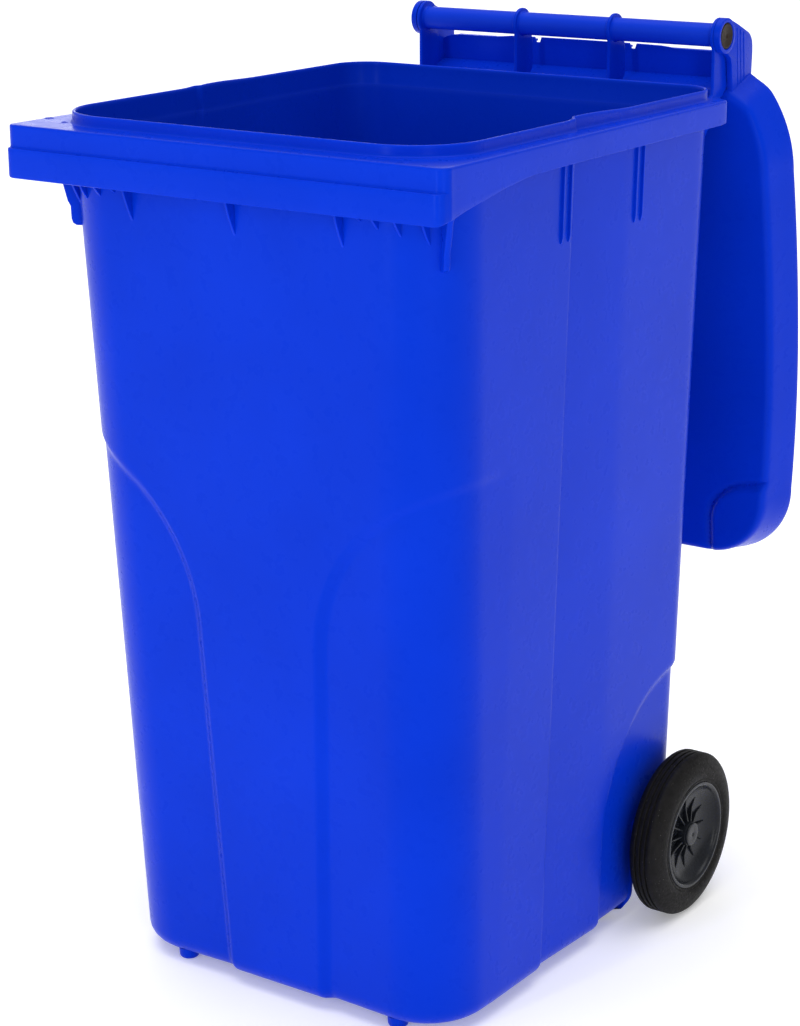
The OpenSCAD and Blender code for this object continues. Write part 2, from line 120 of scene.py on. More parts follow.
def strip(rings, closed_rows=False, caps=True):
    """Faces over closed rings, row by row: a tube with capped ends, or a closed torus."""
    rings = np.asarray(rings, float)
    rows, count = rings.shape[:2]
    points = rings.reshape(-1, 3)
    i = np.arange(count)
    j = (i + 1) % count
    faces = []
    for k in range(rows if closed_rows else rows - 1):
        a, b = k * count, (k + 1) % rows * count
        faces += np.stack([a + i, a + j, b + j, b + i], 1).tolist()
    if caps and not closed_rows:
        faces.append(list(range(count - 1, -1, -1)))
        faces.append(list(range((rows - 1) * count, rows * count)))
    return points, faces


def fan_ends(part, count, first, last):
    """Replaces a tube's two flat caps by fans round a middle point."""
    points, faces = part
    rows = len(points) // count
    faces = faces[:-2]
    n = len(points)
    for k in range(count):
        faces.append([(k + 1) % count, k, n])
        faces.append([(rows - 1) * count + k, (rows - 1) * count + (k + 1) % count, n + 1])
    return np.vstack([points, first, last]), faces


def offset(outline, distance):
    """A flat counter-clockwise outline moved inwards, with mitred corners."""
    outline = np.asarray(outline, float)
    before = outline - np.roll(outline, 1, 0)
    after = np.roll(outline, -1, 0) - outline
    normals = []
    for edge in (before, after):
        edge = edge / np.maximum(np.linalg.norm(edge, axis=1, keepdims=True), 1e-9)
        normals.append(np.stack([-edge[:, 1], edge[:, 0]], 1))
    mitre = normals[0] + normals[1]
    scale = np.maximum(1 + (normals[0] * normals[1]).sum(1, keepdims=True), 0.4)
    return outline + distance * mitre / scale


def plate(outline, thickness, round_off=0.8):
    """A flat plate with rounded edges, lying from 0 to its thickness along its third axis."""
    area = sum(a[0] * b[1] - b[0] * a[1] for a, b in zip(outline, np.roll(outline, -1, 0)))
    outline = np.asarray(outline if area > 0 else outline[::-1], float)
    steps = [(1.0, 0.0), (0.45, 0.1), (0.1, 0.45), (0.0, 1.0)]
    below = [(inset, up * round_off) for inset, up in steps]
    above = [(inset, thickness - up * round_off) for inset, up in steps[::-1]]
    rings = []
    for inset, height in below + above:
        flat = offset(outline, inset * round_off)
        rings.append(np.column_stack([flat, np.full(len(flat), height)]))
    return strip(rings)


def across(part, x):
    """Turns a plate drawn in the (y, z) plane to face along X, with its middle at x."""
    points, faces = part
    half = points[:, 2].max() / 2
    return np.column_stack([x - half + points[:, 2], points[:, 0], points[:, 1]]), faces


def facing_y(part, y):
    """Turns a plate drawn in the (x, z) plane to face along -Y, from y to y + thickness."""
    points, faces = part
    return np.column_stack([points[:, 0], y + points[:, 2], points[:, 1]]), flipped(faces)


def level(part, z):
    """Lays a plate drawn in the (x, y) plane flat, from z to z + thickness."""
    points, faces = part
    return points + np.array([0, 0, z]), faces


def flipped(faces):
    return [face[::-1] for face in faces]


def turned(profile, y, z, count=96):
    """Rings of revolution round a line along X; the profile is (x, radius), from end to end."""
    a = spread(0, 2 * math.pi, count, end=False)
    return [np.stack([np.full(count, x), y + r * np.cos(a), z + r * np.sin(a)], 1) for x, r in profile]


def solid_turned(profile, y, z, count=96):
    """A solid of revolution closed by flat ends."""
    return strip(turned(profile, y, z, count))


def ring_turned(profile, y, z, count=96):
    """A ring of revolution, whose profile is a closed section."""
    return strip(turned(profile, y, z, count), closed_rows=True)


def upright_turned(profile, x, y, count=48):
    """Rings of revolution round an upright line; the profile is (radius, height)."""
    a = spread(0, 2 * math.pi, count, end=False)
    return [np.stack([x + r * np.cos(a), y + r * np.sin(a), np.full(count, z)], 1) for r, z in profile]


def mirror(part):
    points, faces = part
    return points * np.array([-1, 1, 1]), flipped(faces)


def both(part):
    return [part, mirror(part)]


def on_side(side, parts):
    """Parts drawn for the right side, or their mirror images for the left."""
    return parts if side == "right" else [mirror(part) for part in parts]


def piece(name, parts, body, nodes, material, sharp=38):
    """One object out of closed parts: placed in the row frame, riding and replacing its nodes."""
    points, faces, base = [], [], 0
    for part_points, part_faces in parts:
        points.append(part_points)
        faces += [[base + i for i in face] for face in part_faces]
        base += len(part_points)
    points = (np.vstack(points) + np.array([0, FRONT, 0])) * MM
    mesh = bpy.data.meshes.new(name)
    mesh.from_pydata(points.tolist(), [], faces)
    mesh.validate()
    mesh.update()
    mesh.shade_smooth()
    mesh.set_sharp_from_angle(angle=math.radians(sharp))
    mesh.materials.append(material)
    thing = bpy.data.objects.new(name, mesh)
    bpy.context.scene.collection.objects.link(thing)
    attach(thing, body)
    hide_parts(*nodes)


# ---- Materials ----

def new_material(name):
    material = bpy.data.materials.new(name)
    material.use_nodes = True
    tree = material.node_tree
    return material, tree, tree.nodes["Principled BSDF"]


def node(tree, kind, inputs=None, **settings):
    made = tree.nodes.new("ShaderNode" + kind)
    for key, value in settings.items():
        setattr(made, key, value)
    for key, value in (inputs or {}).items():
        made.inputs[key].default_value = value
    return made


def noise(tree, scale, detail=3.0, stretch=(1, 1, 1), roughness=0.5):
    """Noise in the object's own metres, stretched along its axes."""
    where = node(tree, "TexCoord")
    mapping = node(tree, "Mapping", {"Scale": stretch})
    made = node(tree, "TexNoise", {"Scale": scale, "Detail": detail, "Roughness": roughness})
    tree.links.new(where.outputs["Object"], mapping.inputs["Vector"])
    tree.links.new(mapping.outputs["Vector"], made.inputs["Vector"])
    return made.outputs["Fac"]


def ramp(tree, value, low_at, low_colour, high_at, high_colour):
    made = node(tree, "ValToRGB")
    stops = made.color_ramp.elements
    stops[0].position, stops[0].color = low_at, (*low_colour, 1)
    stops[1].position, stops[1].color = high_at, (*high_colour, 1)
    tree.links.new(value, made.inputs["Fac"])
    return made.outputs["Color"]


def ranged(tree, value, from_low, from_high, to_low, to_high):
    made = node(tree, "MapRange", {"From Min": from_low, "From Max": from_high,
                                   "To Min": to_low, "To Max": to_high})
    tree.links.new(value, made.inputs["Value"])
    return made.outputs["Result"]


def combined(tree, operation, a, b):
    made = node(tree, "Math", operation=operation)
    for slot_index, value in enumerate((a, b)):
        if isinstance(value, (int, float)):
            made.inputs[slot_index].default_value = value
        else:
            tree.links.new(value, made.inputs[slot_index])
    return made.outputs["Value"]


def mixed(tree, factor, a, b):
    made = node(tree, "Mix", data_type="RGBA")
    for key, value in (("Factor", factor), ("A", a), ("B", b)):
        socket = [s for s in made.inputs if s.name == key and s.enabled][0]
        if isinstance(value, tuple):
            socket.default_value = (*value, 1)
        elif isinstance(value, float):
            socket.default_value = value
        else:
            tree.links.new(value, socket)
    return [s for s in made.outputs if s.enabled][0]


def bumped(tree, shader, layers):
    """Stacks bump layers, each (height, depth in metres, strength)."""
    last = None
    for height, depth, strength in layers:
        made = node(tree, "Bump", {"Distance": depth, "Strength": strength})
        tree.links.new(height, made.inputs["Height"])
        if last is not None:
            tree.links.new(last, made.inputs["Normal"])
        last = made.outputs["Normal"]
    tree.links.new(last, shader.inputs["Normal"])


def edges(tree, low_at, high_at):
    """Nearly 0 on flat stretches and 1 on sharp outer edges."""
    geometry = node(tree, "NewGeometry")
    return ranged(tree, geometry.outputs["Pointiness"], low_at, high_at, 0.0, 1.0)


def blue_plastic():
    material, tree, shader = new_material("blue_polyethylene")
    link = tree.links.new
    cloud = noise(tree, 5.0, 4.0)
    streak = noise(tree, 26.0, 2.0, stretch=(1.0, 1.0, 0.06))
    colour = ramp(tree, cloud, 0.3, (0.0004, 0.0280, 0.520), 0.7, (0.0009, 0.0330, 0.590))
    worn = edges(tree, 0.53, 0.62)
    colour = mixed(tree, combined(tree, "MULTIPLY", worn, 0.25), colour, (0.03, 0.09, 0.80))
    link(colour, shader.inputs["Base Color"])
    gloss = ranged(tree, noise(tree, 60.0, 5.0), 0.3, 0.7, 0.24, 0.31)
    gloss = combined(tree, "ADD", gloss, combined(tree, "MULTIPLY", streak, 0.03))
    gloss = combined(tree, "ADD", gloss, combined(tree, "MULTIPLY", worn, 0.06))
    link(gloss, shader.inputs["Roughness"])
    shader.inputs["Specular IOR Level"].default_value = 0.09
    shader.inputs["Specular Tint"].default_value = (0.30, 0.52, 1.0, 1)
    bumped(tree, shader, [(streak, 0.0010, 0.08), (noise(tree, 22.0, 2.0), 0.0012, 0.08),
                          (noise(tree, 1400.0, 2.0), 0.00004, 0.10)])
    return material


def pin_plastic():
    material, tree, shader = new_material("brown_pin_plastic")
    link = tree.links.new
    mottle = noise(tree, 180.0, 5.0)
    colour = ramp(tree, mottle, 0.3, (0.012, 0.007, 0.005), 0.75, (0.028, 0.016, 0.010))
    link(colour, shader.inputs["Base Color"])
    link(ranged(tree, noise(tree, 500.0, 4.0), 0.3, 0.7, 0.42, 0.60), shader.inputs["Roughness"])
    shader.inputs["Specular IOR Level"].default_value = 0.15
    bumped(tree, shader, [(noise(tree, 900.0, 3.0), 0.0001, 0.4)])
    return material


def wheel_plastic():
    material, tree, shader = new_material("charcoal_wheel_plastic")
    link = tree.links.new
    cloud = noise(tree, 40.0, 5.0)
    colour = ramp(tree, cloud, 0.3, (0.006, 0.007, 0.010), 0.7, (0.011, 0.013, 0.018))
    worn = edges(tree, 0.53, 0.62)
    colour = mixed(tree, combined(tree, "MULTIPLY", worn, 0.35), colour, (0.06, 0.07, 0.085))
    link(colour, shader.inputs["Base Color"])
    link(ranged(tree, noise(tree, 220.0, 4.0), 0.3, 0.7, 0.22, 0.32), shader.inputs["Roughness"])
    shader.inputs["Specular IOR Level"].default_value = 0.22
    bumped(tree, shader, [(noise(tree, 45.0, 2.0), 0.0008, 0.08),
                          (noise(tree, 1200.0, 2.0), 0.00005, 0.3)])
    return material


def tyre_rubber():
    material, tree, shader = new_material("recycled_rubber")
    link = tree.links.new
    colour = ramp(tree, noise(tree, 90.0, 6.0, roughness=0.7), 0.3, (0.003, 0.003, 0.003),
                  0.75, (0.011, 0.010, 0.010))
    specks = node(tree, "TexVoronoi", {"Scale": 420.0, "Randomness": 1.0})
    where = node(tree, "TexCoord")
    link(where.outputs["Object"], specks.inputs["Vector"])
    is_speck = ranged(tree, specks.outputs["Distance"], 0.10, 0.20, 1.0, 0.0)
    rare = ranged(tree, noise(tree, 240.0, 2.0), 0.60, 0.66, 0.0, 1.0)
    is_speck = combined(tree, "MULTIPLY", is_speck, rare)
    colour = mixed(tree, is_speck, colour, (0.22, 0.21, 0.19))
    link(colour, shader.inputs["Base Color"])
    link(ranged(tree, noise(tree, 300.0, 5.0), 0.3, 0.7, 0.48, 0.72), shader.inputs["Roughness"])
    shader.inputs["Specular IOR Level"].default_value = 0.12
    bumped(tree, shader, [(noise(tree, 420.0, 5.0, roughness=0.7), 0.0006, 0.55),
                          (noise(tree, 60.0, 3.0), 0.001, 0.2)])
    return material


def zinc_steel():
    material, tree, shader = new_material("zinc_plated_steel")
    link = tree.links.new
    colour = ramp(tree, noise(tree, 120.0, 5.0), 0.3, (0.42, 0.42, 0.43), 0.7, (0.60, 0.60, 0.61))
    link(colour, shader.inputs["Base Color"])
    shader.inputs["Metallic"].default_value = 1.0
    turning = noise(tree, 900.0, 3.0, stretch=(6.0, 0.3, 0.3))
    link(ranged(tree, turning, 0.3, 0.7, 0.24, 0.42), shader.inputs["Roughness"])
    bumped(tree, shader, [(turning, 0.00004, 0.4)])
    return material


# ---- Tub ----

PANEL_Z, PANEL_X, PANEL_R = 440.0, 296.0, 215.0  # corner panel's edge: upright, then round
ARCH_Z, ARCH_Y, ARCH_R = 130.0, 594.0, 183.0    # wheel recess's edge, in the same way
FADE_Y = 185.0          # the corner panel has faded out here
CHANNEL_Y0, CHANNEL_Y1 = 280.0, 291.0           # side channel's edge at the base and the seam
CHANNEL_END = 405.0     # the side channel has eased out here
CHANNEL_DEPTH, ARCH_DEPTH = 5.5, 7.5
CORNER_R = 81.0         # the body's front corners, seen from above
FRONT_Y0, FRONT_Y1 = 77.0, 30.0                 # front wall at the base and the seam
REAR_Y0, REAR_Y1 = 594.0, 613.0                 # rear wall, in the same way
REAR_R0, REAR_R1, NOTCH_R = 34.0, 47.0, 12.0    # rear corners: base, seam, above the axle
PANEL_P0 = 64.0         # panel's edge at the base, round from the middle


def plan_at(z):
    """Half width, front, rear and the two corner radii of the body's plan at a height."""
    share = np.clip(z / SEAM_Z, 0, 1)
    above = np.clip((z - SEAM_Z) / (RIM_Z - SEAM_Z), 0, 1)
    half = lerp(TUB_BASE_HALF, TUB_TOP_HALF, share) + 0.5 * above
    front = lerp(FRONT_Y0, FRONT_Y1, share) - above
    in_notch = 1 - smooth((z - NOTCH_Z + 4) / 12)
    rear = lerp(lerp(REAR_Y0, REAR_Y1, share) + 2 * above, NOTCH_Y, in_notch)
    return half, front, rear, CORNER_R, lerp(lerp(REAR_R0, REAR_R1, share), NOTCH_R, in_notch)


def side_start(z):
    """Distance along the half plan at which y on the side wall would be 0."""
    half, front, _, r, _ = plan_at(z)
    return half - r + r * math.pi / 2 - front - r


def plan_points(p, z, inset):
    """Points of the right half of the plan at distances p from the front's middle."""
    half, front, rear, r, q = plan_at(z)
    l1 = half - r
    l2 = l1 + r * math.pi / 2
    l3 = l2 + rear - front - r - q
    l4 = l3 + q * math.pi / 2
    a = np.clip((p - l1) / r, 0, math.pi / 2)
    c = np.clip((p - l3) / q, 0, math.pi / 2)
    x = np.minimum(p, l1) + (r - inset) * np.sin(a)
    x = np.where(p > l3, half - q + (q - inset) * np.cos(c) - np.maximum(p - l4, 0), x)
    y = front + r - (r - inset) * np.cos(a) + np.clip(p - l2, 0, l3 - l2)
    y = y + (q - inset) * np.sin(c)
    return np.stack([x, y, np.full(len(p), z)], 1)


def plan_length(z):
    """Distances along the half plan to the rear corner's two ends and to the rear's middle."""
    half, front, rear, r, q = plan_at(z)
    rear_arc = side_start(z) + rear - q
    return rear_arc, rear_arc + q * math.pi / 2, rear_arc + q * math.pi / 2 + half - q


def tub_depth(p, z):
    """How far the wall is pressed in at a place: corner panels, side channels, wheel recesses."""
    start = side_start(z)
    y = p - start
    panel_s = np.where(z < PANEL_Z, p - lerp(PANEL_P0, PANEL_X - PANEL_R, z / PANEL_Z),
                       PANEL_R - np.hypot(p - PANEL_X, z - PANEL_Z))
    panel_s = np.where((p > PANEL_X) & (z > PANEL_Z), PANEL_Z + PANEL_R - z, panel_s)
    panel_s = np.where((p > PANEL_X) & (z <= PANEL_Z), 100.0, panel_s)
    fade_end = start + FADE_Y
    strength = 1 - np.clip((p - 70) / (fade_end - 70), 0, 1)
    depth = RECESS * strength * smooth((panel_s + 4) / 15)

    channel_y = lerp(CHANNEL_Y0, CHANNEL_Y1, z / SEAM_Z)
    eased = np.clip((y - channel_y - 2) / (CHANNEL_END - channel_y - 2), 0, 1)
    depth = np.maximum(depth, CHANNEL_DEPTH * smooth((y - channel_y + 4) / 8) * (1 - eased))

    arch_s = np.where(z < ARCH_Z, y - (ARCH_Y - ARCH_R), ARCH_R - np.hypot(y - ARCH_Y, z - ARCH_Z))
    arch_s = np.where(y > ARCH_Y, ARCH_Z + ARCH_R - z, arch_s)
    rear0, rear1, _ = plan_length(z)
    past = 1 - smooth((p - rear0) / (rear1 - rear0) * 1.1)
    return np.maximum(depth, ARCH_DEPTH * past * smooth((arch_s + 3) / 12))


def tub_columns(z):
    """Places along the half plan, closer together where the wall steps in."""
    start = side_start(z)
    rear0, rear1, end = plan_length(z)
    edge = lerp(PANEL_P0, PANEL_X - PANEL_R, min(z, PANEL_Z) / PANEL_Z)
    rise = min(max(z - PANEL_Z, 0), PANEL_R * 0.72)
    edge = edge + PANEL_R - math.sqrt(PANEL_R ** 2 - rise ** 2)
    channel = start + lerp(CHANNEL_Y0, CHANNEL_Y1, z / SEAM_Z)
    arch_rise = min(max(z - ARCH_Z, 0), ARCH_R * 0.72)
    arch = start + ARCH_Y - math.sqrt(ARCH_R ** 2 - arch_rise ** 2)
    arch = min(arch, rear0 - 20)
    stops = [(0, edge - 8, 14), (edge - 8, edge + 14, 12), (edge + 14, channel - 7, 62),
             (channel - 7, channel + 7, 8), (channel + 7, arch - 8, 18), (arch - 8, arch + 12, 10),
             (arch + 12, rear0, 12), (rear0, rear1, 14), (rear1, end, 10)]
    columns = [spread(a, b, count, end=False) for a, b, count in stops]
    return np.concatenate(columns + [[end]])


def full_ring(half):
    """Closes a half ring, whose ends lie on the middle plane, by its mirror image."""
    return np.vstack([half, half[-2:0:-1] * np.array([-1, 1, 1])])


def tub_ring(z, inset):
    p = tub_columns(z)
    return full_ring(plan_points(p, z, inset + tub_depth(p, z)))


def tub_levels():
    """Heights of the rings up the wall, closer together at the steps."""
    stops = [(BASE_Z + 20, 122, 22), (122, 142, 16), (142, 400, 58), (400, 560, 40),
             (560, 668, 40), (668, SEAM_Z, 46)]
    return np.concatenate([spread(a, b, n, end=False) for a, b, n in stops] + [[SEAM_Z]])


def tub():
    """The tub's shell, ring by ring: floor, up the inside, down the outside, and the base."""
    floor_z = BASE_Z + 5
    base_round, floor_round = 20, 22
    wall = tub_levels()
    inner_wall = np.where(wall < BASE_Z + 32, wall + 6, wall)
    inner_wall = np.maximum.accumulate(inner_wall)
    rings = []
    middle = np.array([0, (FRONT_Y0 + NOTCH_Y) / 2, 0])

    def flat_rings(z, inset, shares, outward):
        edge = tub_ring(z, inset)
        order = shares if outward else shares[::-1]
        return [(edge - middle) * np.array([s, s, 1]) + middle for s in order]

    shares = [0.05, 0.3, 0.55, 0.8, 0.92, 0.98]
    rings += flat_rings(floor_z, WALL + floor_round, shares, True)
    for a in np.radians([0, 15, 30, 45, 60, 75, 90]):
        z = floor_z + floor_round * (1 - math.cos(a))
        rings.append(tub_ring(z, WALL + floor_round * (1 - math.sin(a))))
    inner_wall = inner_wall[inner_wall > floor_z + floor_round + 2]
    rings += [tub_ring(z, WALL) for z in inner_wall]
    rings += [tub_ring(z, 0) for z in wall[::-1]]
    for a in np.radians([75, 60, 45, 30, 15, 0]):
        z = BASE_Z + base_round * (1 - math.cos(a))
        rings.append(tub_ring(z, base_round * (1 - math.sin(a))))
    rings += flat_rings(BASE_Z, base_round, shares, False)
    count = len(rings[0])
    shell = strip(rings)
    centre = middle + np.array([0, 0, 1])
    shell = fan_ends(shell, count, centre * [1, 1, floor_z], centre * [1, 1, BASE_Z])
    return [(shell[0], flipped(shell[1]))]


# ---- Rim ----

GUSSET_T = 6.8          # the corner gusset's thickness
GUSSET_TURN = math.radians(37)
APRON_Y = [13, 38, 109, 150, 165, 240]          # the side apron's lower edge rises
APRON_RISE = [5.4, 11.0, 22.8, 27.6, 28.8, 29.8]  # this far above the front's


def neck():
    """The upright neck round the opening: a rounded top, and a small flare on to the flange.
    Its section's points are (height, inset, flare, lift)."""
    def ring(z, inset, height, flare=0.0, lift=0.0):
        rear0, rear1, end = plan_length(RIM_Z)
        half, front, _, r, _ = plan_at(RIM_Z)
        l1, l2 = half - r, half - r + r * math.pi / 2
        start = side_start(RIM_Z)
        jog = start + CHANNEL_Y1
        p = np.concatenate([spread(0, l1, 20, end=False), spread(l1, l2, 28, end=False),
                            spread(l2, jog - 6, 20, end=False), spread(jog - 6, jog + 6, 10, end=False),
                            spread(jog + 6, start + CHANNEL_END, 14, end=False),
                            spread(start + CHANNEL_END, rear0, 16, end=False),
                            spread(rear0, rear1, 18, end=False), spread(rear1, end, 14)])
        y = p - start
        on_flange = 1 - smooth((y - 575) / 20)
        points = plan_points(p, z, tub_depth(p, RIM_Z) + inset - flare * on_flange)
        raised = smooth((y - 268) / 40) * (1 - smooth((y - 320) / 90))
        points[:, 2] = height + lift * raised
        return full_ring(points)

    top = NECK_TOP
    section = [(SEAM_Z - 3, WALL, 0, 0), (SEAM_Z + 4, WALL, 0, 0), (RIM_Z, WALL, 0, 0),
               (top - 5, WALL, 0, 1), (top - 2, WALL, 0, 2.2), (top - 0.7, WALL - 0.5, 0, 2.2),
               (top - 0.1, WALL - 1.3, 0, 2.2), (top, WALL / 2, 0, 2.2), (top - 0.1, 1.3, 0, 2.2),
               (top - 0.7, 0.5, 0, 2.2), (top - 2, 0.05, 0, 2.2), (top - 5, 0, 0, 1), (RIM_Z + 3.5, 0, 0, 0),
               (RIM_Z + 1.9, 0, 0.5, 0), (RIM_Z + 0.7, 0, 1.4, 0), (RIM_Z + 0.1, 0, 2.8, 0),
               (RIM_Z - 2, 0.5, 2.8, 0), (RIM_Z - 4, 0.1, 0, 0), (SEAM_Z, 0.02, 0, 0),
               (SEAM_Z - 3, 0.5, 0, 0)]
    rings = [ring(min(h, RIM_Z), inset, h, flare, lift) for h, inset, flare, lift in section]
    points, faces = strip(rings, closed_rows=True)
    return points, flipped(faces)


def rim_stations():
    """Stations round the right half of the rim, from the front's middle to the side's rear end:
    outer point, outward normal, the point on the neck, lip, and the apron's lower edge."""
    stations = []
    bite = 1.5          # the flange runs this far into the neck's wall
    narrow = (RIM_HALF - RIM_REAR_HALF) / RIM_END_Y
    flat_half = RIM_HALF - RIM_CORNER
    neck_half, neck_front, neck_rear, neck_r, neck_q = plan_at(RIM_Z)
    corner_x, corner_y = neck_half - neck_r, neck_front + neck_r
    for x in spread(0, flat_half, 24, end=False):
        near = (x / flat_half * corner_x, neck_front + bite)
        stations.append(((x, 0), (0, -1), near, 1.0, LIP_Z))
    for a in spread(-90, 0, 16, end=False):
        c, s = math.cos(math.radians(a)), math.sin(math.radians(a))
        near = (corner_x + (neck_r - bite) * c, corner_y + (neck_r - bite) * s)
        lip = 1 - float(smooth((a + 90 - 15) / 55))
        edge = LIP_Z + APRON_RISE[0] * float(smooth((a + 90) / 90))
        outer = (flat_half + RIM_CORNER * c, RIM_CORNER + RIM_CORNER * s)
        stations.append((outer, (c, s), near, lip, edge))
    end_y = RIM_END_Y - RIM_END_CORNER
    near_0, near_1 = corner_y + bite, neck_rear - neck_q
    side = [spread(RIM_CORNER, 180, 26, end=False), spread(180, end_y, 60, end=False)]
    for y in np.concatenate(side):
        edge = LIP_Z + np.interp(y, APRON_Y, APRON_RISE)
        near_y = lerp(near_0, near_1, (y - RIM_CORNER) / (end_y - RIM_CORNER))
        pressed = tub_depth(np.array([side_start(RIM_Z) + near_y]), RIM_Z)[0]
        near = (neck_half - bite - pressed, near_y)
        stations.append(((RIM_HALF - narrow * y, y), (1, narrow), near, 0.0, edge))
    rear_half = RIM_REAR_HALF - RIM_END_CORNER
    neck_corner = np.array([neck_half - neck_q, neck_rear - neck_q])
    for a in spread(0, 90, 8):
        c, s = math.cos(math.radians(a)), math.sin(math.radians(a))
        turn = math.radians(a * 0.48)
        near = neck_corner + (neck_q - bite) * np.array([math.cos(turn), math.sin(turn)])
        outer = (rear_half + RIM_END_CORNER * c, end_y + RIM_END_CORNER * s)
        stations.append((outer, (c, s), near, 0.0, STEP_Z + 1))
    return stations


def rim_section(station):
    """The rim's closed section at a station: flange, apron with its step, and back inside."""
    (x, y), (nx, ny), near, lip, edge = station
    outer, normal, near = np.array([x, y]), np.array([nx, ny]), np.array(near)
    out = lip * LIP_OUT
    deep = max(edge, LIP_Z)
    path = [(-2.6, RIM_Z), (-1.5, RIM_Z - 0.15), (-0.6, RIM_Z - 0.7), (-0.1, RIM_Z - 1.7),
            (0.0, RIM_Z - 3), (0.0, RIM_Z - 12)]
    ledge = STEP_Z + 3
    path += [(0.0, ledge + 3), (0.02 * out, ledge + 1.2), (0.12 * out, ledge + 0.3), (0.35 * out, ledge),
             (0.75 * out, ledge - 0.15), (0.93 * out, ledge - 0.8), (out, ledge - 2.2)]
    path = [(t, max(z, deep + 1.6 + 0.02 * (len(path) - k))) for k, (t, z) in enumerate(path)]
    skirt = [lerp(path[-1][1], deep + 1.5, s) for s in (0.33, 0.66, 1.0)]
    path += [(out, z) for z in skirt]
    path += [(out - 0.3, deep + 0.5), (out - 1.0, deep + 0.05), (out - SKIN / 2, deep),
             (out - SKIN + 1, deep + 0.1), (out - SKIN + 0.2, deep + 0.6), (out - SKIN, deep + 1.5)]
    under = RIM_Z - FLANGE
    path += [(out - SKIN, max(ledge - 5, deep + 1.6)), (-SKIN, max(ledge - 3.5, deep + 1.8)),
             (-SKIN, under - 1.5), (-SKIN - 1.5, under)]
    points = [(*(outer + normal * t), z) for t, z in path]
    first, last = outer - normal * 2.6, outer - normal * (SKIN + 1.5)
    inward = [0.15, 0.4, 0.7, 1.0]
    top = [(*lerp(first, near, s), RIM_Z) for s in inward[::-1]]
    below = [(*lerp(last, near, s), under) for s in inward]
    return np.array(top + points + below)


def flange():
    """The rim's flange and apron, swept round the front and both sides."""
    half = np.array([rim_section(station) for station in rim_stations()])
    whole = np.concatenate([(half * np.array([-1, 1, 1]))[:0:-1], half])
    return strip(whole)


def wall_front(x, z, clear):
    """Where the tub's front wall lies at a distance from the middle."""
    half, front, _, r, _ = plan_at(z)
    over = max(0.0, abs(x) - half + r)
    return front + r - math.sqrt(max(r * r - over * over, 0)) + clear


def front_gusset(x, drop):
    """A thin gusset from the front apron back to the wall; its tip lies drop below the lip."""
    low_z = LIP_Z - drop
    bite = 1.5
    top_y, low_y = wall_front(x, RIM_Z - 8, bite), wall_front(x, low_z, bite)
    start = wall_front(x, LIP_Z, 0) - 14
    bend = [(lerp(start, low_y - 1.0, s ** 1.25), lerp(LIP_Z + 4, low_z, s ** 0.85))
            for s in spread(0, 1, 9)]
    outline = [(start - 2, RIM_Z - 2), *bend, (low_y, low_z), (top_y, RIM_Z - 8), (top_y, RIM_Z - 2)]
    return across(plate(outline, 3.0, 0.6), x)


def corner_gusset():
    """The thick gusset that stands diagonally in the right front corner."""
    half, front, _, r, _ = plan_at(900)
    reach = r + 0.5
    low_z = RIM_Z - 116
    outline = [(reach - 5, low_z + 3), (reach - 3, low_z), (reach + 5, low_z + 0.5),
               (reach + 9, low_z + 3), (reach + 10.5, low_z + 8), (reach + 11, low_z + 22),
               (reach + 14, low_z + 28), (reach + 20, LIP_Z - 6), (reach + 27, LIP_Z + 3),
               (reach + 46, LIP_Z + 8), (reach + 46, RIM_Z - 2), (reach - 5, RIM_Z - 2)]
    points, faces = plate(outline, GUSSET_T, 1.6)
    along, up, side = points[:, 0], points[:, 1], points[:, 2] - GUSSET_T / 2
    c, s = math.cos(GUSSET_TURN), math.sin(GUSSET_TURN)
    x = half - r + along * c + side * s
    y = front + r - along * s + side * c
    return np.column_stack([x, y, up]), faces


def side_rib(y):
    """A thin upright rib on the right side wall, with a rounded lower end."""
    low_z = RIM_Z - 117

    def wall_x(z):
        p = np.array([side_start(z) + y])
        return plan_points(p, z, tub_depth(p, z))[0, 0]

    bottom, top = wall_x(low_z), wall_x(SEAM_Z - 4)
    proud = 3.2
    outline = [(bottom - 2, low_z), (bottom + 1.2, low_z), (bottom + proud - 1.2, low_z + 2.5),
               (bottom + proud, low_z + 8), (top + proud, SEAM_Z + 4), (top - 2, SEAM_Z + 4)]
    points, faces = plate(outline, 2.4, 0.7)
    return np.column_stack([points[:, 0], y - 1.2 + points[:, 2], points[:, 1]]), flipped(faces)


def eyelet(x, y, r):
    """The raised lip of a hole in the flange."""
    profile = [(r, RIM_Z - 0.6), (r + 0.15, RIM_Z + 0.25), (r + 0.8, RIM_Z + 0.45),
               (r + 1.6, RIM_Z + 0.2), (r + 1.9, RIM_Z - 0.6)]
    return strip(upright_turned(profile, x, y, 40), closed_rows=True)


def rim():
    """Neck, flange, gussets, side ribs, and the lips of the two tag holes."""
    parts = [neck(), flange(), front_gusset(0, 42)]
    for x, drop in [(140, 40), (163, 11), (184, 17), (208, 23), (232, 31)]:
        parts += both(front_gusset(x, drop))
    parts += both(corner_gusset())
    for y in (265, 280, 420, 434.5):
        parts += both(side_rib(y))
    parts += [eyelet(-280, 62, 4.0), eyelet(-244, 47, 2.2)]
    return parts


# ---- Handle, brackets and feet ----

STRAP_T = 4.5
STRAP_X = high("handle_frame")[0] - STRAP_T / 2
INNER_X = 67.0
BAR_R = 14.0
SHELF_Z = RIM_Z - 11
SHELF_REAR = 709.0


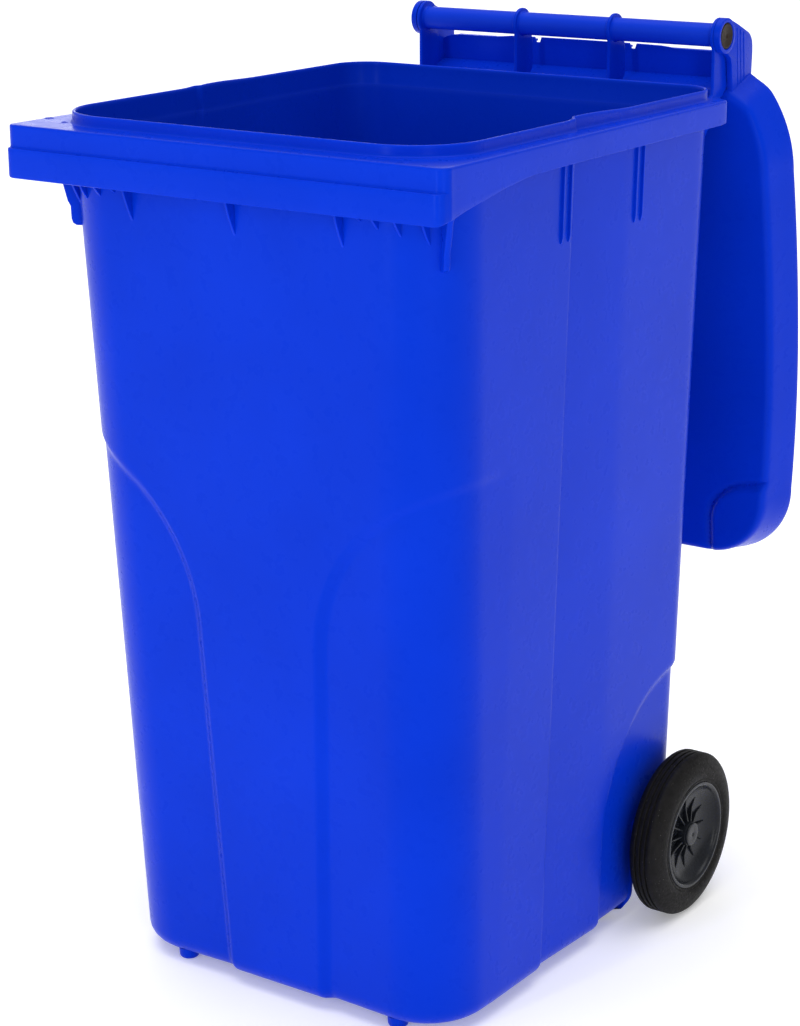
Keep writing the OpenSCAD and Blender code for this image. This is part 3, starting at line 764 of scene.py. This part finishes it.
def strap(x, lobe_r):
    """An upright strap whose round lobe carries the bar."""
    turn = math.degrees(math.asin(15 / lobe_r))
    lobe = arc(HINGE_Y, HINGE_Z, lobe_r, -90 + turn + 26, 270 - turn, 40)
    foot = [(HINGE_Y - 15, SHELF_Z + 12), (HINGE_Y - 16.5, SHELF_Z + 4), (HINGE_Y - 21, SHELF_Z - 1),
            (SHELF_REAR, SHELF_Z - 1), (HINGE_Y + 23, SHELF_Z + 15), (HINGE_Y + 23, HINGE_Z - 28)]
    return across(plate(list(map(tuple, lobe)) + foot, STRAP_T, 1.3), x)


def handle_gusset(x):
    """The gusset that holds the shelf and a strap against the rear wall."""
    foot_y, top_y = plan_at(RIM_Z - 105)[2], plan_at(SEAM_Z)[2]
    outline = [(foot_y - 1, RIM_Z - 105), (foot_y + 3, RIM_Z - 104), (690, RIM_Z - 34),
               (706, RIM_Z - 18), (706, SHELF_Z - 3), (top_y - 1, SHELF_Z - 3)]
    return across(plate(outline, STRAP_T, 1.2), x)


def handle():
    """Bar, straps with their collars, gussets, and the shelf behind the rear wall."""
    parts = [solid_turned([(-STRAP_X, BAR_R), (STRAP_X, BAR_R)], HINGE_Y, HINGE_Z, 72)]
    for x, r in ((STRAP_X, 21), (INNER_X, 19)):
        parts += both(strap(x, r))
        parts += both(handle_gusset(x))
        collar = [(x - 4.5, BAR_R), (x - 3.4, BAR_R + 0.4), (x - 2.4, BAR_R + 1.5), (x, BAR_R + 2)]
        if x == INNER_X:
            collar += [(x + 2.4, BAR_R + 1.5), (x + 3.4, BAR_R + 0.4), (x + 4.5, BAR_R)]
        parts += both(solid_turned(collar, HINGE_Y, HINGE_Z, 72))
    rear = plan_at(RIM_Z)[2]
    edge = STRAP_X + STRAP_T / 2
    corner = 6
    outline = [(-edge, rear - 2), (edge, rear - 2), (edge, SHELF_REAR - corner),
               (edge - corner, SHELF_REAR), (-edge + corner, SHELF_REAR), (-edge, SHELF_REAR - corner)]
    parts.append(level(plate(outline, 5.0, 1.4), SHELF_Z - 5))
    return parts


def brackets():
    """Webs under the rear of the tub, and the sleeves that the axle runs through."""
    parts = []
    rear_wall = plan_at(NOTCH_Z + 14)[2] - 2
    for x, thickness in ((100, 6.0), (216, 8.0)):
        boss = [tuple(q) for q in arc(AXLE_Y, AXLE_Z, 18, -165, 15, 26)]
        outline = [(NOTCH_Y - 2, 44), *boss, (rear_wall, NOTCH_Z - 8), (rear_wall, NOTCH_Z + 6),
                   (NOTCH_Y - 2, NOTCH_Z + 2)]
        parts += both(across(plate(outline, thickness, 1.0), x))
    sleeve = [(212, 16), (236.8, 16), (237.6, 15.7), (238, 15), (238, 11), (212, 11)]
    parts += both(ring_turned(sleeve, AXLE_Y, AXLE_Z, 64))
    return parts


def feet():
    """Two front feet that stand on the ground, and the shorter studs along the sides."""
    parts = []
    foot_y = low("front_feet")[1] - FRONT + 12
    for x, y, r, bottom in ((153, foot_y, 12, 0.0), (205, 180, 8, 5.0), (205, 380, 8, 5.0)):
        profile = [(r * 0.35, bottom), (r * 0.68, bottom), (r * 0.85, bottom + 0.8),
                   (r * 0.95, bottom + 2.2), (r, bottom + 4.5), (r + 0.6, BASE_Z + 1),
                   (r + 2.5, BASE_Z + 2.5)]
        parts += both(strip(upright_turned(profile, x, y)))
    return parts


# ---- Lid ----

LID_FRONT, LID_HALF, LID_CORNER = 21.0, 285.0, 96.0
LID_SHOULDER_Y, LID_SHOULDER_R = 530.0, 165.0
GRIP_X, GRIP_Y, GRIP_R = 186.0, 128.0, 42.0     # the raised grip's inner edges and corner
GRIP_UP, GROOVE = 3.4, 4.2
LID_BOW = 0.5
LID_MIDDLE = 330.0
FRONT_BOW, REAR_BOW, BOW_LENGTH = 11.0, 8.0, 230.0  # the sides draw in, before and behind it
LID_REAR = 645.0
CROWN_INSET = 20.5      # the flat of the crown starts this far inside the skirt's foot
CROWN_REAR = LID_REAR - 21.5
WEB_REAR = 672.5
NOTCH_X = 69.0          # middle of the small notch in the lid's web, behind an inner strap
LUG_RECESS = 0.5        # the lug's plate lies this far inside its boss
LUG_IN, LUG_OUT = 213.3, high("lid_pin_right")[0] + 0.2


def lid_side(y):
    """Half the lid's width at a place along its bowed side."""
    bow = FRONT_BOW if y < LID_MIDDLE else REAR_BOW
    return LID_HALF - bow * ((y - LID_MIDDLE) / BOW_LENGTH) ** 2


def lid_half(grow, rear):
    """The right half of the shut lid's outline, from the front's middle to the rear's middle."""
    front = LID_FRONT - grow
    r = max(LID_CORNER + grow, 12)
    w = lid_side(LID_FRONT + LID_CORNER) + grow
    flat = [(x, front + LID_BOW * (x / (w - r)) ** 2) for x in spread(0, w - r, 14, end=False)]
    corner = arc(w - r, front + LID_BOW + r, r, -90, 0, 30)
    y0 = front + LID_BOW + r
    along = np.concatenate([spread(y0 + 4, 175, 10, end=False),
                            spread(175, LID_SHOULDER_Y, 28, end=False)])
    side = [(lid_side(y) + grow, y) for y in along]
    s, q = lid_side(LID_SHOULDER_Y) + grow, LID_SHOULDER_R
    shoulder = [(s - q + math.sqrt(q * q - (y - LID_SHOULDER_Y) ** 2), y)
                for y in spread(LID_SHOULDER_Y, rear - 24, 18)]
    end = shoulder[-1][0]
    back = [(end - 3.5, rear - 19.5), (end - 7.8, rear - 15.4), (end - 12.5, rear - 12),
            (end - 17.5, rear - 9), (end - 22.5, rear - 6), (end - 27, rear - 3), (end - 31.5, rear)]
    back += [(x, rear) for x in spread(end - 36, 0, 12)]
    return np.array(flat + [tuple(c) for c in corner] + side + shoulder + back)


def lid_ring(z, grow, rear, squeeze=1.0):
    """One ring round the shut lid. A grip stands up in a groove at each front corner."""
    middle = np.array([0, LID_MIDDLE])
    half = (lid_half(grow, rear) - middle) * squeeze + middle
    x, y = half[:, 0], half[:, 1]
    aside = np.maximum(GRIP_X + GRIP_R - x, 0)
    beyond = np.maximum(y - (GRIP_Y + 0.2 * (x - GRIP_X - GRIP_R)) + GRIP_R, 0)
    s = GRIP_R - np.hypot(aside, beyond)
    on_crown = np.clip((z - (RIM_Z + 46)) / 8, 0, 1)
    shape = GRIP_UP * smooth((s - 1) / 4) - GROOVE * np.exp(-((s + 2) / 3.0) ** 2)
    return full_ring(np.column_stack([half, z + shape * on_crown]))


def lid_shell():
    """Crown and skirt as one shell. Each ring is (height, growth of the plan, rear end)."""
    low_z, top, rear = RIM_Z + LID_GAP, RIM_Z + CROWN, LID_REAR
    outer = [(low_z + 1.6, 0.2, rear), (low_z + 6, -0.7, rear - 1), (low_z + 14, -2.8, rear - 2.8),
             (low_z + 24, -5.4, rear - 5.2), (low_z + 34, -8, rear - 8), (top - 9.5, -10, rear - 10.8),
             (top - 6.4, -10.9, rear - 11.8), (top - 4.2, -12, rear - 13),
             (top - 2.4, -13.6, rear - 14.6), (top - 1.1, -15.6, rear - 16.6),
             (top - 0.3, -18, rear - 19), (top, -CROWN_INSET, CROWN_REAR)]
    foot = [(low_z + 1.2, -LID_T - 0.2, rear - 3), (low_z + 0.3, -LID_T + 0.5, rear - 2.2),
            (low_z, -LID_T / 2, rear - 1.2), (low_z + 0.2, -0.4, rear - 0.4), (low_z + 0.8, 0.1, rear)]
    inner = []
    for z, grow, end in outer:
        drop = LID_T * np.clip((z - top + 12) / 10, 0, 1)
        inner.append((z - drop, grow - LID_T, end - LID_T))
    shares = [*spread(0.99, 0.77, 23), 0.7, 0.6, 0.45, 0.25, 0.06]
    dome = 1.5

    def crown(z, inset, share):
        return lid_ring(z + dome * (1 - share ** 2), -CROWN_INSET - inset, CROWN_REAR - inset, share)

    rings = [crown(top - LID_T, LID_T, share) for share in shares[::-1]]
    rings += [lid_ring(*ring) for ring in inner[::-1] + foot + outer]
    rings += [crown(top, 0, share) for share in shares]
    inside, outside = [0, LID_MIDDLE, top - LID_T + dome], [0, LID_MIDDLE, top + dome]
    points, faces = fan_ends(strip(rings), len(rings[0]), inside, outside)
    return points, flipped(faces)


def lid_lug():
    """The right hinge arm's side plate, with the boss round the pin and three fine ribs."""
    inner, outer = LUG_IN, LUG_OUT
    bite = [tuple(q) for q in arc(HINGE_Y, HINGE_Z, 18.3, -32, -186, 40)]
    outline = [(616, RIM_Z + LID_GAP + 1), (645, RIM_Z - 1), (668, RIM_Z - 4), (677, RIM_Z - 4.5),
               (683, RIM_Z - 3.8), (688, RIM_Z - 1.5), (692, RIM_Z + 1.6), (695, RIM_Z + 5.5),
               (709, RIM_Z + 32), (717, RIM_Z + 49), *bite, (677, RIM_Z + 58), (671.5, RIM_Z + 52),
               (664, RIM_Z + 50), (616, RIM_Z + 47.5)]
    arm_outer = outer - LUG_RECESS
    parts = [across(plate(outline, arm_outer - inner, 0.7), (inner + arm_outer) / 2)]
    ring = [(inner, 15.9), (outer - 0.5, 15.9), (outer - 0.1, 16.2), (outer, 16.8), (outer, 20),
            (outer - 0.3, 20.7), (outer - 1.0, 21), (inner, 21)]
    parts.append(ring_turned(ring, HINGE_Y, HINGE_Z, 96))
    parts.append(solid_turned([(inner, 17), (outer - 4.4, 17)], HINGE_Y, HINGE_Z, 72))
    for z in (18, 26, 34):
        end = 690 + 0.45 * z
        rib = [(634, RIM_Z + z - 1), (end - 1, RIM_Z + z - 1), (end, RIM_Z + z),
               (end - 1, RIM_Z + z + 1), (634, RIM_Z + z + 1)]
        parts.append(across(plate(rib, 1.6, 0.4), outer - 0.6))
    return parts


def lid_lip():
    """The turned-down edge of the connecting web, in three stretches between its notches."""
    low_z, top = RIM_Z + 14, RIM_Z + 20.5
    cut_in, cut_out, end = NOTCH_X - 4.5, NOTCH_X + 4.5, LUG_IN - 22
    parts = []
    for a, b in ((-cut_in, cut_in), (cut_out, end), (-end, -cut_out)):
        outline = [(a, low_z), (b, low_z), (b, top), (a, top)]
        parts.append(facing_y(plate(outline, LID_T, 0.9), WEB_REAR - LID_T))
    return parts


def lid_web():
    """The web between the lugs, with rounded ends and a small notch behind each inner strap."""
    edge, ends_y = LUG_IN + 1, WEB_REAR
    middle_y = ends_y + 3.0
    notch_y = middle_y - 6.5
    right = [(0, middle_y + 0.2), (40, middle_y + 0.1), (NOTCH_X - 5, middle_y), (NOTCH_X - 2.6, notch_y),
             (NOTCH_X + 2.6, notch_y), (NOTCH_X + 5, middle_y), (108, middle_y - 0.5),
             (118, middle_y - 1.4), (128, ends_y + 0.4), (edge - 24, ends_y), (edge - 14, ends_y - 1),
             (edge - 6, ends_y - 3.2), (edge, ends_y - 6.5), (edge, LID_REAR - 9)]
    outline = [(-x, y) for x, y in right[:0:-1]] + right
    return level(plate(outline, LID_T, 0.9), RIM_Z + 19)


def lid_parts():
    """The whole lid as it lies when shut."""
    parts = [lid_shell(), lid_web(), *lid_lip()]
    for part in lid_lug():
        parts += both(part)
    return parts


def swung_open(part):
    """Turns a part of the shut lid about the hinge to where it hangs at rest."""
    points, faces = part
    y, z = points[:, 1] - HINGE_Y, points[:, 2] - HINGE_Z
    c, s = math.cos(-LID_OPEN), math.sin(-LID_OPEN)
    return np.column_stack([points[:, 0], HINGE_Y + y * c - z * s, HINGE_Z + y * s + z * c]), faces


def lid_pin():
    """The head of the right hinge pin, its face a little dished, and its shank."""
    end = high("lid_pin_right")[0]
    profile = [(176, 5.5), (177, 6.5), (180, 8), (end - 3.8, 8), (end - 3.8, 14.8), (end - 3.4, 15.4),
               (end - 1.2, 15.4), (end - 0.5, 15.1), (end - 0.1, 14.4), (end, 13.2), (end - 0.2, 12.2),
               (end - 0.5, 11.4), (end - 0.5, 3.2), (end - 0.7, 2.6), (end - 1.3, 1.8)]
    return solid_turned(profile, HINGE_Y, HINGE_Z, 72)


# ---- Wheels ----

RIBS, RIB_T = 12, 1.9
LATCH_X = 252.0         # the latch's tube stands here on the hub


def tyre():
    """The right tyre: a bulged side each way, and three grooves round the tread."""
    h, r = TYRE_HALF, TYRE_R
    rise = [(-0.5, 4.5), (0.6, 3.0), (2.4, 2.0), (4.2, 1.6), (5.2, 2.1), (6.4, 1.3), (9, 0.4), (12, 0.05),
            (16, 0.4), (20, 1.3), (24, 2.7), (28, 4.4), (31, 6.1), (33.4, 8.0), (35, 10.0)]
    side = [(SEAT_R + up, h - inset) for up, inset in rise] + [(r - 0.2, h - 11.6), (r, h - 12.9)]
    tread = []
    for x in (6.6, 0.0, -6.6):
        tread += [(r, x + 1.7), (r - 0.4, x + 1.2), (r - 2.2, x + 0.9), (r - 2.6, x), (r - 2.2, x - 0.9),
                  (r - 0.4, x - 1.2), (r, x - 1.7)]
    other = [(q, -x) for q, x in side[::-1]]
    profile = [(WHEEL_X + x, q) for q, x in side + tread + other]
    return [ring_turned(profile, AXLE_Y, AXLE_Z, 128)]


def wheel_rim():
    """The right rim: barrel, dished web, straight ribs, hub, and the latch's tube."""
    h = TYRE_HALF - 4
    lip = [(-h, SEAT_R), (h - 1, SEAT_R + 0.2), (h + 1.2, SEAT_R + 1.0), (h + 2.2, SEAT_R + 0.6),
           (h + 2.5, SEAT_R - 0.8), (h + 2.4, SEAT_R - 2.4), (h + 1.6, SEAT_R - 3.6), (h - 1, SEAT_R - 4.8)]
    dish = [(h - 3.5, 60), (h - 7, 56), (h - 10.5, 50), (h - 13, 42), (h - 14.5, 34), (h - 15.5, 26),
            (h - 16, 14.5)]
    back = [(h - 19.5, 14.5), (h - 19, 26), (h - 18, 34), (h - 16.5, 42), (h - 14, 50), (h - 12, 58),
            (h - 12, 62), (-h, 62)]
    section = lip + dish + back
    parts = [ring_turned([(WHEEL_X + x, r) for x, r in section], AXLE_Y, AXLE_Z, 128)]
    profile = [(13, h - 18), (13, h - 8), (17, h - 9), (32, h - 12.2), (46, h - 11.6), (48, h - 12.6),
               (48, h - 13.5), (32, h - 17)]
    points, faces = plate(profile, RIB_T, 0.5)
    r, x, side = points[:, 0], points[:, 1], points[:, 2] - RIB_T / 2
    for k in range(RIBS):
        a = 2 * math.pi * k / RIBS
        y = r * math.cos(a) - side * math.sin(a)
        z = r * math.sin(a) + side * math.cos(a)
        parts.append((np.column_stack([WHEEL_X + x, AXLE_Y + y, AXLE_Z + z]), flipped(faces)))
    hub = [(242, 11.1), (242, 15.2), (243, 15.6), (268, 15.6), (279.5, 15.2), (281, 14.8),
           (281.4, 14.2), (281.4, 11.1)]
    parts.append(ring_turned(hub, AXLE_Y, AXLE_Z, 72))
    tube = [(6.6, AXLE_Z - 14), (6.6, AXLE_Z - 38), (6.2, AXLE_Z - 40), (5.0, AXLE_Z - 41)]
    parts.append(strip(upright_turned(tube, LATCH_X, AXLE_Y, 32)))
    return parts


def hub_cap():
    """A round cover over the hub's end, with a small dimple in its middle."""
    end = high("hub_cap_right")[0]
    profile = [(278, 10.9), (281.2, 10.9), (281.2, 14.2), (281.8, 14.5), (end - 1.3, 14.5),
               (end - 0.5, 14.1), (end - 0.1, 13.2), (end, 12), (end, 3.4), (end - 0.2, 2.7),
               (end - 0.8, 1.8), (end - 1.0, 0.8)]
    return [solid_turned(profile, AXLE_Y, AXLE_Z, 64)]


# ---- Everything in place ----

blue = blue_plastic()
brown = pin_plastic()
charcoal = wheel_plastic()
rubber = tyre_rubber()
zinc = zinc_steel()

piece("tub_shell", tub(), "bin", ["tub"], blue, 45)
piece("comb_rim_and_neck", rim(), "bin", ["rim_frame"], blue)
piece("handle_and_straps", handle(), "bin", ["handle_frame"], blue)
piece("axle_webs", brackets(), "bin", ["axle_brackets"], blue)
piece("feet_and_studs", feet(), "bin", ["front_feet"], blue)
piece("swing_lid", [swung_open(part) for part in lid_parts()], "lid", ["lid"], blue)

for side in ("right", "left"):
    body = "wheel_" + side
    piece("pin_" + side, on_side(side, [lid_pin()]), "bin", ["lid_pin_" + side], brown)
    piece("rubber_tyre_" + side, on_side(side, tyre()), body, ["tyre_" + side], rubber)
    for name, parts, cad in (("ribbed_rim_", wheel_rim(), "wheel_rim_"), ("cap_", hub_cap(), "hub_cap_")):
        piece(name + side, on_side(side, parts), body, [cad + side], charcoal)

for name, thing in frame["nodes"].items():
    if name.startswith(("axle", "washer", "latch_spring")) and name != "axle_brackets":
        thing.data.materials.clear()
        thing.data.materials.append(zinc)
    if name.startswith("wheel_latch"):
        thing.data.materials.clear()
        thing.data.materials.append(brown)


# ---- Stage, light and camera ----

def floor_material():
    material, tree, shader = new_material("pale_floor")
    colour = ramp(tree, noise(tree, 1.5, 3.0), 0.3, (0.92, 0.92, 0.93), 0.7, (0.94, 0.94, 0.94))
    tree.links.new(colour, shader.inputs["Base Color"])
    tree.links.new(colour, shader.inputs["Emission Color"])
    shader.inputs["Emission Strength"].default_value = 0.25
    shader.inputs["Roughness"].default_value = 0.9
    return material


def floor():
    """A wide pale slab whose top is the ground."""
    size, depth = 30.0, 0.02
    corners = ((-size, -size), (size, -size), (size, size), (-size, size))
    points = [(x, y, z) for z in (-depth, 0.0) for x, y in corners]
    faces = [(0, 3, 2, 1), (4, 5, 6, 7), (0, 1, 5, 4), (1, 2, 6, 5), (2, 3, 7, 6), (3, 0, 4, 7)]
    mesh = bpy.data.meshes.new("floor")
    mesh.from_pydata(points, [], faces)
    mesh.materials.append(floor_material())
    thing = bpy.data.objects.new("floor", mesh)
    bpy.context.scene.collection.objects.link(thing)


def area_light(name, place, aim, width, height, power):
    """A soft rectangular light that faces a point."""
    lamp = bpy.data.lights.new(name, "AREA")
    lamp.shape, lamp.size, lamp.size_y, lamp.energy = "RECTANGLE", width, height, power
    thing = bpy.data.objects.new(name, lamp)
    thing.location = place
    thing.rotation_euler = (Vector(aim) - Vector(place)).to_track_quat("-Z", "Y").to_euler()
    bpy.context.scene.collection.objects.link(thing)


def overhead_sun(strength):
    """A very soft light from straight above, which keeps the whole floor white."""
    lamp = bpy.data.lights.new("overhead", "SUN")
    lamp.energy, lamp.angle = strength, math.radians(60)
    bpy.context.scene.collection.objects.link(bpy.data.objects.new("overhead", lamp))


def sky():
    """An even white studio all round."""
    world = bpy.data.worlds.new("studio")
    bpy.context.scene.world = world
    world.use_nodes = True
    background = world.node_tree.nodes["Background"]
    background.inputs["Color"].default_value = (1.0, 1.0, 1.0, 1)
    background.inputs["Strength"].default_value = 0.5


def camera():
    """A long lens a little above the rim, looking down at the front right corner. Its angles,
    place and lens were fitted to the photo's edges."""
    yaw, pitch, roll = math.radians(34.946), math.radians(16.676), math.radians(-0.312)
    ahead, down = math.cos(pitch), math.sin(pitch)
    forward = Vector((-math.sin(yaw) * ahead, math.cos(yaw) * ahead, -down))
    right = Vector((math.cos(yaw), math.sin(yaw), 0))
    up = right.cross(forward)
    right, up = (right * math.cos(roll) + up * math.sin(roll), up * math.cos(roll) - right * math.sin(roll))
    data = bpy.data.cameras.new("photo_view")
    data.sensor_width, data.lens = 36, 87.85614
    data.shift_x, data.shift_y = -0.00236, -0.0009
    data.clip_end = 100
    thing = bpy.data.objects.new("photo_view", data)
    turn = Matrix((right, up, -forward)).transposed().to_4x4()
    thing.matrix_world = Matrix.Translation((1.6252, FRONT * MM - 1.988, 1.3744)) @ turn
    bpy.context.scene.collection.objects.link(thing)
    bpy.context.scene.camera = thing


floor()
sky()
overhead_sun(2.0)
area_light("strip_front", (-0.5, -3.9, 1.4), (0, 0, 0.7), 0.22, 2.8, 34)
area_light("soft_right", (3.0, -2.7, 1.5), (0, 0, 0.6), 0.7, 2.6, 25)
area_light("horizon_left", (-3.0, 3.2, 1.6), (0, 0, 0.9), 2.0, 1.0, 13)
camera()
bpy.context.scene.view_settings.view_transform = "Standard"
